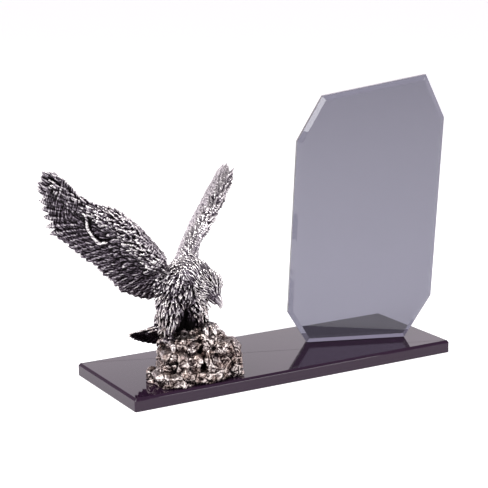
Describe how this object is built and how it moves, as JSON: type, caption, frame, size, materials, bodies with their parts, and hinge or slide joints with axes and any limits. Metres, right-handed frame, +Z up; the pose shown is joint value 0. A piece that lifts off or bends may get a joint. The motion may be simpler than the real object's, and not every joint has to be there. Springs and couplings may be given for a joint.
{
  "type": "eagle trophy",
  "caption": "Award with a cast silver eagle landing on a rock, wings raised, beside an upright smoked glass plaque with cut corners, both on a black glass base.",
  "frame": {"origin": "middle of the base's underside, on the surface that it stands on", "axes": "+Z up, +X along the base's long side from the eagle's end towards the plaque's end, -Y towards the front long edge"},
  "size_m": [0.3385, 0.1457, 0.2213],
  "materials": {
    "black_glass": "opaque black float glass, polished, with ground and polished chamfers",
    "smoked_glass": "see-through smoke-grey float glass, polished, with a ground facet round the front",
    "antique_silver": "plated silver, blackened and rubbed back so that recesses stay dark"
  },
  "bodies": {
    "root": {"base_plate": "black_glass", "glass_plaque": "smoked_glass", "eagle_casting": "antique_silver"}
  },
  "joints": []
}
